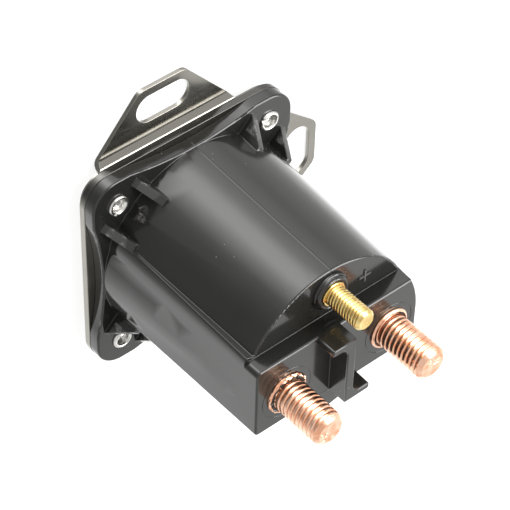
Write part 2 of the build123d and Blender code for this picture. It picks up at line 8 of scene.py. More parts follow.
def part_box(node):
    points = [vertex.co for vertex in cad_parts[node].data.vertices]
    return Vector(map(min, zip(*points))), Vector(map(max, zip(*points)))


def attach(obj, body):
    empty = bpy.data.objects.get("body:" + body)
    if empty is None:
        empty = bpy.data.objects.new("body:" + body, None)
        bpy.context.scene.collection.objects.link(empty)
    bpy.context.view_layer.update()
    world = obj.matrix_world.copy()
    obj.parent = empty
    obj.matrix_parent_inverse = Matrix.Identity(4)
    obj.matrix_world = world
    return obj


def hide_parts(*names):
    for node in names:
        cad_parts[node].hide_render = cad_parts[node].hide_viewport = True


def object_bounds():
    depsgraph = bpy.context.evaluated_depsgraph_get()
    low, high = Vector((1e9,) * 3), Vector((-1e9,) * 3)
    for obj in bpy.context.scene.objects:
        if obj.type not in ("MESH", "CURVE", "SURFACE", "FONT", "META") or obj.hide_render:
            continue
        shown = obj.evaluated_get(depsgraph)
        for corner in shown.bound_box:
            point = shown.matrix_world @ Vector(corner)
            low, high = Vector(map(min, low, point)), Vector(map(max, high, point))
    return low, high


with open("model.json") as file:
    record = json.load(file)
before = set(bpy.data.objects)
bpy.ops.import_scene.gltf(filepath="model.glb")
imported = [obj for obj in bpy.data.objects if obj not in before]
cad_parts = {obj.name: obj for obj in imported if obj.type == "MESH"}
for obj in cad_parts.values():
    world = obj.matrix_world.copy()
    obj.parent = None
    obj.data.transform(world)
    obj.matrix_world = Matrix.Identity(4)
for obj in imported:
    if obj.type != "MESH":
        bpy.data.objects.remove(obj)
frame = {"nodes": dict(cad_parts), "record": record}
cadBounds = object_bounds()
mm = 0.001

leftStudPlace = (-14.2, -1.0)      # on the terminal bar, in mm from the relay's axis
rightStudPlace = (14.2, -1.0)
coilStudPlace = (0.0, 16.8)
rivetReach = 20.65      # along X and along Y, to each rivet
sharpAngle = 32      # degrees: an edge beyond it isn't shaded smooth
lumpSeed = 1
noise.seed_set(lumpSeed)      # the same lumps in each run


def inMetres(place):
    return (place[0] * mm, place[1] * mm, 0.0)


# Node trees written as expressions

class Wire:      # one output socket; arithmetic on it adds Math nodes
    def __init__(self, graph, socket):
        self.graph = graph
        self.socket = socket

    def math(self, operation, *others):
        inputs = dict(enumerate((self,) + others))
        return self.graph.node("ShaderNodeMath", {"operation": operation}, inputs)

    def __add__(self, other):
        return self.math("ADD", other)

    def __radd__(self, other):
        return self.math("ADD", other)

    def __sub__(self, other):
        return self.math("SUBTRACT", other)

    def __rsub__(self, other):
        return self.graph.node("ShaderNodeMath", {"operation": "SUBTRACT"}, {0: other, 1: self})

    def __mul__(self, other):
        return self.math("MULTIPLY", other)

    def __rmul__(self, other):
        return self.math("MULTIPLY", other)

    def __truediv__(self, other):
        return self.math("DIVIDE", other)

    def part(self, axis):
        split = self.graph.node("ShaderNodeSeparateXYZ", {}, {0: self})
        return Wire(self.graph, split.socket.node.outputs["XYZ".index(axis)])

    def clamp(self, low, high):
        return self.math("MAXIMUM", low).math("MINIMUM", high)

    def band(self, low, high):      # 0 below low, 1 above high, smooth between
        ends = {"Value": self, "From Min": low, "From Max": high}
        return self.graph.node("ShaderNodeMapRange", {"interpolation_type": "SMOOTHSTEP"}, ends)


class Graph:
    def __init__(self, tree):
        self.tree = tree
        tree.nodes.clear()

    def node(self, kind, settings, inputs, output=0):
        made = self.tree.nodes.new(kind)
        for name, value in settings.items():
            if name == "stops":
                fillRamp(made.color_ramp, value)
            else:
                setattr(made, name, value)
        for key, value in inputs.items():
            self.put(findSocket(made, key), value)
        shown = [s for s in made.outputs if s.enabled]
        return Wire(self, shown[output]) if shown else made

    def put(self, socket, value):
        if isinstance(value, Wire):
            self.tree.links.new(value.socket, socket)
        else:
            socket.default_value = value


def findSocket(node, key):
    if isinstance(key, int):
        return node.inputs[key]
    return next(s for s in node.inputs if s.enabled and s.name == key)


def fillRamp(ramp, stops):
    while len(ramp.elements) < len(stops):
        ramp.elements.new(1.0)
    for element, (place, colour) in zip(ramp.elements, stops):
        element.position = place
        element.color = (*colour, 1.0)


def startMaterial(name):
    material = bpy.data.materials.new(name)
    material.use_nodes = True
    return material, Graph(material.node_tree)


def finishMaterial(material, graph, surface):
    shader = graph.node("ShaderNodeBsdfPrincipled", {}, surface)
    graph.node("ShaderNodeOutputMaterial", {}, {"Surface": shader})
    return material


def objectPlace(graph):
    return graph.node("ShaderNodeTexCoord", {}, {}, output=3)


def clouds(graph, scale, detail, stretch=None):
    place = objectPlace(graph)
    if stretch:
        place = graph.node("ShaderNodeMapping", {}, {"Vector": place, "Scale": stretch})
    return graph.node("ShaderNodeTexNoise", {}, {"Vector": place, "Scale": scale, "Detail": detail})


def specks(graph, scale, edge):      # 1 inside small scattered dots, fading between the two radii
    inputs = {"Vector": objectPlace(graph), "Scale": scale, "Randomness": 1.0}
    away = graph.node("ShaderNodeTexVoronoi", {}, inputs)
    return 1 - away.band(*edge)


def blendColours(graph, share, low, high):
    low, high = [end if isinstance(end, Wire) else (*end, 1) for end in (low, high)]
    return graph.node("ShaderNodeMix", {"data_type": "RGBA"}, {"Factor": share, "A": low, "B": high})


def bump(graph, height, distance):
    return graph.node("ShaderNodeBump", {}, {"Height": height, "Distance": distance, "Strength": 1.0})


# Materials

blackMoulding = {
    "dark": (0.0085, 0.0085, 0.0072),
    "pale": (0.016, 0.016, 0.0145),
    "roughness": 0.08,
    "relief": 0.05 * mm,
    "ior": 1.5,
    "flowScale": 60,      # slow clouds, as the melt flowed in the mould
    "flowHeight": 0.9,
    "flowBand": (0.35, 0.7),
    "flowRoughness": 0.06,
    "grainScale": 1400,
    "grainHeight": 0.012,
    "grainRoughness": 0.04,
    "dust": (0.42, 0.42, 0.40),
    "dustScale": 330,
    "dustEdge": (0.021, 0.035),
    "dustyFlow": (0.45, 0.55),      # dust lies only on this part of the clouds
    "dustShare": 0.6,
    "dustRoughness": 0.4,
    # the gusset tops: real scuffs, over an even painted sheen that lightens them all over
    "wornAndSheenTone": (0.13, 0.13, 0.125),
    "paintedSheenShare": 0.15,
    "wornAndSheenRoughness": 0.22,
    "gussetTopReach": (26.2 * mm, 26.6 * mm),      # above the flange, only the gussets reach so far out
    "gussetTopHeight": (8.4 * mm, 8.8 * mm),
    "scuffScale": 420,
    "scuffBand": (0.5, 0.62),
    "scuffShare": 0.6,
    "seamPlace": 0.3 * mm,      # the mould's parting line, along the barrel below the coil stud
    "seamWidth": (0.04 * mm, 0.3 * mm),
    "seamReach": (19.0 * mm, 20.0 * mm),
    "seamHeight": 0.7,
}


def makeBlackMoulding(values):
    material, graph = startMaterial("blackMoulding")
    place = objectPlace(graph)
    flow = clouds(graph, values["flowScale"], 3)
    grain = clouds(graph, values["grainScale"], 2)
    dust = specks(graph, values["dustScale"], values["dustEdge"]) * flow.band(*values["dustyFlow"])
    reach = (place.part("X") * place.part("X") + place.part("Y") * place.part("Y")).math("SQRT")
    # gusset tops: painted sheen evenly, plus real scuff wear from the noise
    gussets = reach.band(*values["gussetTopReach"]) * place.part("Z").band(*values["gussetTopHeight"])
    scuffs = clouds(graph, values["scuffScale"], 4).band(*values["scuffBand"])
    wornAndSheen = gussets * (scuffs * values["scuffShare"] + values["paintedSheenShare"])
    away = (place.part("X") - values["seamPlace"]).math("ABSOLUTE")
    seam = (1 - away.band(*values["seamWidth"])) * place.part("Y").band(*values["seamReach"])
    tone = blendColours(graph, flow, values["dark"], values["pale"])
    tone = blendColours(graph, wornAndSheen, tone, values["wornAndSheenTone"])
    roughness = values["roughness"] + values["flowRoughness"] * flow.band(*values["flowBand"])
    roughness = roughness + grain * values["grainRoughness"] + dust * values["dustRoughness"]
    height = flow * values["flowHeight"] + grain * values["grainHeight"] + seam * values["seamHeight"]
    return finishMaterial(material, graph, {
        "Base Color": blendColours(graph, dust * values["dustShare"], tone, values["dust"]),
        "Roughness": roughness + wornAndSheen * values["wornAndSheenRoughness"],
        "Normal": bump(graph, height, values["relief"]),
        "IOR": values["ior"],
    })


zincPlate = {
    "dark": (0.19, 0.18, 0.155),
    "pale": (0.31, 0.30, 0.275),
    "roughness": 0.14,
    "relief": 0.004 * mm,
    "streakScale": 260,
    "streakStretch": (0.12, 1.0, 1.0),      # rolled along X
    "streakShare": 0.45,
    "streakRoughness": 0.08,
    "cloudScale": 55,
    "cloudShare": 0.55,
    "stainScale": 190,
    "stainBand": (0.58, 0.72),
    "stainShare": 0.35,
    "stainRoughness": 0.06,
    "paintedShade": (0.05, 0.05, 0.048),      # painted shade along the end plate's upper edge and its left corner
    "paintedShadeShare": 0.85,
    "cornerMiddle": rivetReach * mm,
    "paintedShadeReach": (6.3 * mm, 6.6 * mm),
    "paintedShadeRise": (0.0 * mm, 4.0 * mm),
    "plateLow": (2.6 * mm, 3.1 * mm),
}


def makeZincPlate(values):
    material, graph = startMaterial("zincPlate")
    place = objectPlace(graph)
    streaks = clouds(graph, values["streakScale"], 3, stretch=values["streakStretch"])
    cloud = clouds(graph, values["cloudScale"], 3)
    stain = clouds(graph, values["stainScale"], 4).band(*values["stainBand"])
    mixed = streaks * values["streakShare"] + cloud * values["cloudShare"]
    aside = (place.part("X").math("ABSOLUTE") - values["cornerMiddle"]).math("MAXIMUM", 0.0)
    rise = (place.part("Y") - values["cornerMiddle"]).math("MAXIMUM", 0.0)
    away = (aside * aside + rise * rise).math("SQRT")
    # painted shade: darkens the end plate's upper edge and its left corner
    shadeMask = away.band(*values["paintedShadeReach"]) * rise.band(*values["paintedShadeRise"])
    shadeMask = shadeMask * place.part("Z").band(*values["plateLow"])
    tone = blendColours(graph, mixed, values["dark"], values["pale"])
    tone = blendColours(graph, shadeMask * values["paintedShadeShare"], tone, values["paintedShade"])
    roughness = values["roughness"] + streaks * values["streakRoughness"]
    return finishMaterial(material, graph, {
        "Base Color": blendColours(graph, stain * values["stainShare"], tone, values["dark"]),
        "Metallic": 1.0,
        "Roughness": roughness + stain * values["stainRoughness"],
        "Normal": bump(graph, streaks, values["relief"]),
    })


satinMoulding = {      # the raised sign, left matt by the mould
    "dark": (0.035, 0.035, 0.035),
    "pale": (0.08, 0.08, 0.08),
    "roughness": 0.3,
    "relief": 0.01 * mm,
    "grainScale": 1800,
    "grainRoughness": 0.2,
}


def makeSatinMoulding(values):
    material, graph = startMaterial("satinMoulding")
    grain = clouds(graph, values["grainScale"], 3)
    return finishMaterial(material, graph, {
        "Base Color": blendColours(graph, grain, values["dark"], values["pale"]),
        "Roughness": values["roughness"] + grain * values["grainRoughness"],
        "Normal": bump(graph, grain, values["relief"]),
    })


bareMetal = {      # fine drawn marks over slow clouds
    "metallic": 1.0,
    "cloudBand": (0.25, 0.75),
    "cloudRoughness": 0.12,
    "fineScale": 6,
    "fineRoughness": 0.05,
    "fineHeight": 0.3,
}

softSurface = {      # plastics, fibre, rubber and tape
    "metallic": 0.0,
    "cloudBand": (0.25, 0.75),
    "cloudRoughness": 0.12,
    "fineScale": 5,
    "fineRoughness": 0.06,
    "fineHeight": 0.4,
}


def makeClouded(name, values, marks):
    material, graph = startMaterial(name)
    cloud = clouds(graph, values["scale"], 4)
    fine = clouds(graph, values["scale"] * marks["fineScale"], 2)
    tone = cloud.band(*marks["cloudBand"])
    roughness = values["roughness"] + cloud * marks["cloudRoughness"]
    return finishMaterial(material, graph, {
        "Base Color": blendColours(graph, tone, values["dark"], values["pale"]),
        "Metallic": marks["metallic"],
        "Roughness": roughness + fine * marks["fineRoughness"],
        "Normal": bump(graph, cloud + fine * marks["fineHeight"], values["relief"]),
    })


metals = {
    "rivet_steel": {
        "dark": (0.50, 0.49, 0.46), "pale": (0.80, 0.79, 0.76),
        "roughness": 0.16, "scale": 700, "relief": 0.03 * mm,
    },
    "copper": {
        "dark": (0.80, 0.38, 0.22), "pale": (0.94, 0.63, 0.47),
        "roughness": 0.14, "scale": 520, "relief": 0.012 * mm,
    },
    "brass": {
        "dark": (0.62, 0.43, 0.15), "pale": (0.84, 0.65, 0.28),
        "roughness": 0.14, "scale": 620, "relief": 0.008 * mm,
    },
    "soft_iron": {
        "dark": (0.25, 0.25, 0.25), "pale": (0.42, 0.42, 0.41),
        "roughness": 0.30, "scale": 260, "relief": 0.02 * mm,
    },
    "spring_steel": {
        "dark": (0.32, 0.32, 0.33), "pale": (0.55, 0.55, 0.55),
        "roughness": 0.22, "scale": 500, "relief": 0.01 * mm,
    },
    "magnet_wire": {
        "dark": (0.34, 0.10, 0.03), "pale": (0.58, 0.22, 0.09),
        "roughness": 0.22, "scale": 600, "relief": 0.03 * mm,
    },
}

softFinishes = {
    "seal_rubber": {
        "dark": (0.012, 0.012, 0.012), "pale": (0.025, 0.025, 0.025),
        "roughness": 0.55, "scale": 500, "relief": 0.02 * mm,
    },
    "bobbin_nylon": {
        "dark": (0.62, 0.57, 0.45), "pale": (0.78, 0.74, 0.63),
        "roughness": 0.38, "scale": 200, "relief": 0.02 * mm,
    },
    "coil_tape": {
        "dark": (0.68, 0.45, 0.07), "pale": (0.80, 0.60, 0.16),
        "roughness": 0.22, "scale": 150, "relief": 0.02 * mm,
    },
    "fibre": {
        "dark": (0.26, 0.07, 0.045), "pale": (0.42, 0.15, 0.10),
        "roughness": 0.50, "scale": 450, "relief": 0.03 * mm,
    },
}

finishes = {"black_moulding": makeBlackMoulding(blackMoulding), "zinc_plate": makeZincPlate(zincPlate)}
for slotName, slotValues in metals.items():
    finishes[slotName] = makeClouded(slotName, slotValues, bareMetal)
for slotName, slotValues in softFinishes.items():
    finishes[slotName] = makeClouded(slotName, slotValues, softSurface)

nodeSlots = {row["node"]: row["material_slot"] for row in frame["record"]["subparts"]}
for nodeName, node in frame["nodes"].items():
    node.data.materials.clear()
    node.data.materials.append(finishes[nodeSlots[nodeName]])
print("finishes on", len(frame["nodes"]), "nodes")


# Meshes and pieces

def turned(profile, columns, place=(0, 0)):      # profile of (radius, z) in mm, swept round an upright axis
    weld = 0.002 * mm      # closes the rows that lie on the axis
    shape = bmesh.new()
    rings = []
    for column in range(columns):
        angle = 2 * math.pi * column / columns
        across = Vector((math.cos(angle), math.sin(angle), 0))
        middle = Vector((*place, 0))
        rings.append([shape.verts.new((middle + across * r + Vector((0, 0, z))) * mm) for r, z in profile])
    for column in range(columns):
        here, beyond = rings[column], rings[(column + 1) % columns]
        for row in range(len(profile) - 1):
            shape.faces.new((here[row], beyond[row], beyond[row + 1], here[row + 1]))
    bmesh.ops.remove_doubles(shape, verts=shape.verts, dist=weld)
    bmesh.ops.recalc_face_normals(shape, faces=shape.faces)
    return shape


def addMesh(shape, mesh):      # a closed shell more in the same piece
    shape.from_mesh(mesh)
    bpy.data.meshes.remove(mesh)


def addShape(shape, other):
    mesh = bpy.data.meshes.new("shell")
    other.to_mesh(mesh)
    other.free()
    addMesh(shape, mesh)


def addPiece(name, shape, slotName, replaced=(), finish=None):
    mesh = bpy.data.meshes.new(name)
    shape.to_mesh(mesh)
    shape.free()
    mesh.materials.clear()
    mesh.materials.append(finish or finishes[slotName])
    mesh.polygons.foreach_set("material_index", [0] * len(mesh.polygons))
    mesh.shade_smooth()
    mesh.set_sharp_from_angle(angle=math.radians(sharpAngle))
    piece = bpy.data.objects.new(name, mesh)
    bpy.context.scene.collection.objects.link(piece)
    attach(piece, "relay")
    if replaced:
        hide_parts(*replaced)
    print(name, len(mesh.polygons), "faces")


def roughen(shape, amount, scale, seed, chosen):      # smooth noise; each seed looks at another part of it
    for vertex in shape.verts:
        share = chosen(vertex.co / mm)
        if share > 0:
            place = vertex.co / mm * scale + Vector((seed, 2.3 * seed, 0))
            vertex.co += noise.noise_vector(place) * amount * share * mm


# Geometry Nodes trees

socketKinds = {float: "NodeSocketFloat", int: "NodeSocketInt", tuple: "NodeSocketVector"}


def startTree(name, values):
    tree = bpy.data.node_groups.new(name, "GeometryNodeTree")
    graph = Graph(tree)
    tree.interface.new_socket("Geometry", in_out="INPUT", socket_type="NodeSocketGeometry")
    for label, value in values.items():
        tree.interface.new_socket(label, in_out="INPUT", socket_type=socketKinds[type(value)])
    tree.interface.new_socket("Geometry", in_out="OUTPUT", socket_type="NodeSocketGeometry")
    source = tree.nodes.new("NodeGroupInput")
    sizes = {socket.name: Wire(graph, socket) for socket in source.outputs if socket.name}
    return graph, sizes


def finishTree(graph, shape, slotName):      # every tree ends realized, with its material
    real = graph.node("GeometryNodeRealizeInstances", {}, {0: shape})
    dressed = graph.node("GeometryNodeSetMaterial", {}, {0: real, "Material": finishes[slotName]})
    sink = graph.tree.nodes.new("NodeGroupOutput")
    graph.put(sink.inputs[0], dressed)
    return graph.tree


def growTree(tree, values, seedMesh):      # the tree's result as a plain mesh
    grower = bpy.data.objects.new(tree.name, seedMesh)
    bpy.context.scene.collection.objects.link(grower)
    modifier = grower.modifiers.new("grow", "NODES")
    modifier.node_group = tree
    for item in tree.interface.items_tree:
        if item.in_out == "INPUT" and item.name in values:
            modifier[item.identifier] = values[item.name]
    depsgraph = bpy.context.evaluated_depsgraph_get()
    mesh = bpy.data.meshes.new_from_object(grower.evaluated_get(depsgraph), depsgraph=depsgraph)
    grower.modifiers.remove(modifier)
    bpy.data.objects.remove(grower)
    return mesh


# Threads of the three studs

powerThread = {
    "Place": inMetres(leftStudPlace),
    "Radius": 4.0 * mm,
    "Pitch": 1.25 * mm,
    "Depth": 0.28 * mm,
    "Crest": 5.0,      # the higher, the wider the crests and the narrower the grooves
    "Bottom": 54.6 * mm,
    "Top": 68.75 * mm,
    "Chamfer": 0.95 * mm,
    "Columns": 72,
    "Turn Rows": 10,
    "Tip Rings": 14,
    "Pit Depth": 0.15 * mm,
    "Pit Side": (-0.6, -0.8, 0.0),
    "Pit Scale": 1500.0,
    "Seed": 3.0,
}

tipPits = {      # where the pits in a stud's tip fade in
    "sideways": (-0.15, 0.25),
    "inward": (0.04, 0.16),
    "noise": (0.42, 0.66),
}

coilThread = dict(powerThread)
coilThread.update({
    "Place": inMetres(coilStudPlace),
    "Radius": 2.5 * mm,
    "Pitch": 0.8 * mm,
    "Depth": 0.22 * mm,
    "Bottom": 52.6 * mm,
    "Top": 62.4 * mm,
    "Chamfer": 0.62 * mm,
    "Columns": 56,
    "Pit Depth": 0.03 * mm,
    "Seed": 7.0,
})


def makeThreadTree(name, slotName):
    inputs = dict(powerThread)
    inputs.update({"Thread Rows": 1, "Grid Rows": 1})
    graph, size = startTree(name, inputs)
    grid = graph.node("GeometryNodeMeshGrid", {}, {
        "Size X": 1.0, "Size Y": 1.0,
        "Vertices X": size["Columns"] + 1, "Vertices Y": size["Grid Rows"],
    })
    flat = graph.node("GeometryNodeInputPosition", {}, {})
    turn = flat.part("X") + 0.5      # 0 to 1 round the axis
    row = (flat.part("Y") + 0.5) * (size["Grid Rows"] - 1)
    rise = (row - 1).clamp(0, size["Thread Rows"]) / size["Turn Rows"]      # in pitches
    z = (size["Bottom"] + size["Pitch"] * (rise + turn - 1)).clamp(size["Bottom"], size["Top"])
    toRoot = 1 - (rise.math("FRACT") * 2 - 1).math("ABSOLUTE")
    groove = toRoot.math("POWER", size["Crest"])
    runOut = ((z - size["Bottom"]) / size["Pitch"]).clamp(0, 1)
    radius = size["Radius"] - size["Depth"] * groove * runOut
    radius = radius.math("MINIMUM", size["Radius"] - size["Chamfer"] + (size["Top"] - z))
    inward = ((row - size["Thread Rows"] - 1) / size["Tip Rings"]).clamp(0, 1)      # 1 at the tip's middle
    radius = radius * row.clamp(0, 1) * (1 - inward)
    angle = turn * (2 * math.pi)
    x = radius * angle.math("COSINE")
    y = radius * angle.math("SINE")
    side = (x * size["Pit Side"].part("X") + y * size["Pit Side"].part("Y")) / size["Radius"]
    pitPlace = graph.node("ShaderNodeCombineXYZ", {}, {0: x, 1: y, 2: size["Seed"]})
    noiseInputs = {"Vector": pitPlace, "Scale": size["Pit Scale"], "Detail": 3.0}
    pits = graph.node("ShaderNodeTexNoise", {}, noiseInputs).band(*tipPits["noise"])
    pitted = side.band(*tipPits["sideways"]) * inward.band(*tipPits["inward"])
    z = z - size["Pit Depth"] * pitted * pits
    place = graph.node("ShaderNodeCombineXYZ", {}, {0: x, 1: y, 2: z})
    place = graph.node("ShaderNodeVectorMath", {"operation": "ADD"}, {0: place, 1: size["Place"]})
    wound = graph.node("GeometryNodeSetPosition", {}, {"Geometry": grid, "Position": place})
    weld = 0.003 * mm      # joins the grid's sides where they meet, and its ends on the axis
    closed = graph.node("GeometryNodeMergeByDistance", {}, {"Geometry": wound, "Distance": weld})
    return finishTree(graph, closed, slotName)


def cutThread(tree, values):
    filled = dict(values)
    turns = (values["Top"] - values["Bottom"]) / values["Pitch"] + 1
    filled["Thread Rows"] = math.ceil(turns * values["Turn Rows"])
    filled["Grid Rows"] = filled["Thread Rows"] + values["Tip Rings"] + 2
    return growTree(tree, filled, bpy.data.meshes.new("thread"))


# Copper power studs: head and square neck inside the housing, collar and thread outside

powerStud = {
    "headRadius": 5.6,
    "headTop": 47.5,
    "headChamfer": 0.2,
    "headEdge": 0.1,
    "neckHalf": 4.3,
    "neckTop": 50.0,
    "neckEdge": 0.25,
    "shankRadius": 3.98,
    "shankTop": 55.0,
    "collarBase": 54.9,
    "collarOuter": 5.1,
    "collarInner": 4.55,
    "collarTop": 55.7,
    "collarStep": 0.16,      # longest run of the lumpy collar's outline
    "lumpsAbove": 0.15,      # the collar's lowest part stays true, and the lumps grow over the next rise
    "lumpsRise": 0.3,
}


def squareNeck(half, edge, bottom, top, place):
    shape = bmesh.new()
    bmesh.ops.create_cube(shape, size=1.0)
    for vertex in shape.verts:
        x, y, z = vertex.co
        level = bottom if z < 0 else top
        vertex.co = Vector((place[0] + 2 * half * x, place[1] + 2 * half * y, level)) * mm
    bmesh.ops.bevel(shape, geom=shape.edges, offset=edge * mm, segments=2, affect="EDGES")
    return shape


def collarProfile(values):      # the small numbers round the ring's corners, in mm
    outer, inner = values["collarOuter"], values["collarInner"]
    base, top = values["collarBase"], values["collarTop"]
    return [
        (inner, base), (outer - 0.1, base), (outer, base + 0.15), (outer, base + 0.35),
        (outer - 0.08, base + 0.52), (outer - 0.22, base + 0.62), (outer - 0.28, top - 0.16),
        (outer - 0.38, top - 0.03), (outer - 0.5, top), (inner + 0.1, top - 0.04),
        (inner, top - 0.14), (inner, base),
    ]


def collarPath(values):      # the ring's outline with the long runs divided, for the lumpy collar
    outline = collarProfile(values)
    fine = [outline[0]]
    for (r, z), (beyondR, beyondZ) in zip(outline, outline[1:]):
        steps = max(1, math.ceil(math.hypot(beyondR - r, beyondZ - z) / values["collarStep"]))
        for step in range(1, steps + 1):
            fine.append((r + (beyondR - r) * step / steps, z + (beyondZ - z) * step / steps))
    return fine


def makePowerStud(name, node, place, thread, lumps, values):
    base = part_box(node)[0].z / mm
    head, top, shank = values["headRadius"], values["headTop"], values["shankRadius"]
    chamfer, edge = values["headChamfer"], values["headEdge"]
    stud = turned([
        (0, base), (head - chamfer, base), (head, base + chamfer), (head, top - edge), (head - edge, top),
        (shank, top), (shank, values["shankTop"]), (0, values["shankTop"]),
    ], columns=64, place=place)
    addShape(stud, squareNeck(values["neckHalf"], values["neckEdge"], top - edge, values["neckTop"], place))
    ring = turned(collarPath(values), columns=96, place=place)
    raised = values["collarBase"] + values["lumpsAbove"]

    def aboveBar(place):
        return max(0.0, min(1.0, (place.z - raised) / values["lumpsRise"]))

    roughen(ring, lumps["amount"], lumps["scale"], lumps["seed"], aboveBar)
    addShape(stud, ring)
    addMesh(stud, cutThread(copperTree, thread))
    addPiece(name, stud, "copper", (node,))


copperTree = makeThreadTree("copperThread", "copper")
brassTree = makeThreadTree("brassThread", "brass")

leftLumps = {"amount": 0.26, "scale": 1.7, "seed": 4.1}
rightLumps = {"amount": 0.05, "scale": 0.9, "seed": 1.7}
makePowerStud("leftCopperStud", "left_power_stud", leftStudPlace, powerThread, leftLumps, powerStud)

rightThread = dict(powerThread)
rightThread.update({
    "Place": inMetres(rightStudPlace),
    "Pit Side": (0.55, 0.83, 0.0),
    "Pit Depth": 0.12 * mm,
    "Pit Scale": 2300.0,
    "Seed": 11.0,
})
makePowerStud("rightCopperStud", "right_power_stud", rightStudPlace, rightThread, rightLumps, powerStud)


# Black lumpy ring between the left stud and its collar

studBlackRing = {
    "inner": 3.95,
    "outer": 4.7,
    "base": 54.9,
    "top": 55.7,
    "rounding": 0.15,
    "crown": 0.08,
    "lumpAmount": 0.45,
    "lumpScale": 1.9,
    "seed": 8.2,
}


def makeStudBlackRing(values, place):
    inner, outer, base, top = values["inner"], values["outer"], values["base"], values["top"]
    rounding, halfway = values["rounding"], (base + top) / 2
    ring = turned([
        (inner, base), (outer, base), (outer, halfway), (outer - rounding, top),
        ((inner + outer) / 2, top + values["crown"]),
        (inner + rounding, top), (inner, halfway), (inner, base),
    ], columns=90, place=place)

    def aboveBar(place):
        return max(0.0, min(1.0, (place.z - base) / (top - base)))

    roughen(ring, values["lumpAmount"], values["lumpScale"], values["seed"], aboveBar)
    addPiece("studBlackRing", ring, "black_moulding")


makeStudBlackRing(studBlackRing, leftStudPlace)


# Brass coil stud

coilStud = {
    "headFlats": 8.0,
    "headTop": 47.45,
    "headChamfer": (0.3, 0.2),
    "shankBase": 47.4,
    "shankRadius": 2.98,
    "neckTop": 52.75,
    "neckEdge": 0.15,
}


def makeCoilStud(values, place):
    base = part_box("coil_stud")[0].z / mm
    corner = values["headFlats"] / 2 / math.cos(math.radians(30))
    inward, upward = values["headChamfer"]
    head = turned([
        (0, base), (corner - inward, base), (corner, base + upward),
        (corner, values["headTop"]), (0, values["headTop"]),
    ], columns=6, place=place)
    radius, foot = values["shankRadius"], values["shankBase"]
    top, edge = values["neckTop"], values["neckEdge"]
    shank = turned([
        (0, foot), (radius, foot), (radius, top - edge), (radius - edge, top), (0, top),
    ], columns=56, place=place)
    addShape(head, shank)
    addMesh(head, cutThread(brassTree, coilThread))
    addPiece("brassCoilStud", head, "brass", ("coil_stud",))


makeCoilStud(coilStud, coilStudPlace)


# Tubular rivets, rolled over on the flange

rivetShape = {
    "headBase": 1.5,
    "headRadius": 3.2,
    "headTop": 2.0,
    "shankRadius": 1.98,
    "flange": 7.6,
    "rimRadius": 2.55,
    "rimTop": 8.33,
    "bore": 1.5,
    "boreFloor": 6.95,
}

rivetPlaces = {
    "Pitch": 2 * rivetReach * mm,
    "Seed": 5,
    "Wobble": 0.12 * mm,
    "Rim Base": rivetShape["flange"] * mm,
    "Rim Top": rivetShape["rimTop"] * mm,
    "Split Corner": inMetres((-rivetReach, rivetReach)),
    "Split Angle": -2.2,
    "Split Width": 0.16,
    "Split Depth": 0.75 * mm,
    "Flare": 0.12 * mm,
    "Bore": rivetShape["bore"] * mm,
    "Floor Lumps": 0.9 * mm,
    "Wobble Scale": 450.0,
    "Lump Scale": 900.0,
    "Notch Corner": inMetres((rivetReach, rivetReach)),
    "Notch Angle": 2.6,
    "Notch Width": 0.2,
    "Notch Depth": 0.35 * mm,
}


rivetMarks = {
    "boreEdge": (0.45, 0.92),      # where the rubble on the bore's floor ends, in bore radii
    "rubbleMiddle": 0.45,
    "wobbleMiddle": 0.5,
    "wobbleDrop": 0.62,      # noise above this leaves the rim's height as it is
    "flareAside": 0.5,      # radians from the split
    "flareWidth": 0.6,
}


def rivetProfile(values):      # head, shank and rolled rim; the small numbers round the corners, in mm
    flange, rim, top = values["flange"], values["rimRadius"], values["rimTop"]
    bore, shank = values["bore"], values["shankRadius"]
    crown = (rim + bore) / 2
    halfWidth = (rim - bore) / 2
    outline = [
        (0, values["headBase"]), (values["headRadius"] - 0.25, values["headBase"]),
        (values["headRadius"], values["headBase"] + 0.2), (values["headRadius"], values["headTop"] - 0.05),
        (values["headRadius"] - 0.05, values["headTop"]), (shank, values["headTop"]),
        (shank, flange - 0.05), (rim - 0.1, flange - 0.02),
    ]
    steps = 10
    for step in range(steps + 1):      # the rolled rim's round top
        angle = math.pi * step / steps
        height = (top - flange - 0.1) * math.sin(angle)
        outline.append((crown + halfWidth * math.cos(angle), flange + 0.08 + height))
    outline += [(bore - 0.02, flange - 0.4), (bore - 0.02, values["boreFloor"] + 0.15)]
    rings = 7
    for ring in range(rings + 1):
        outline.append(((bore - 0.17) * (1 - ring / rings), values["boreFloor"]))
    return outline


def wedge(angle, middle, halfWidth):      # 1 at that angle round an axis, 0 outside the half width
    away = (angle - middle).math("COSINE").math("ARCCOSINE")
    return 1 - away.band(0.0, halfWidth)


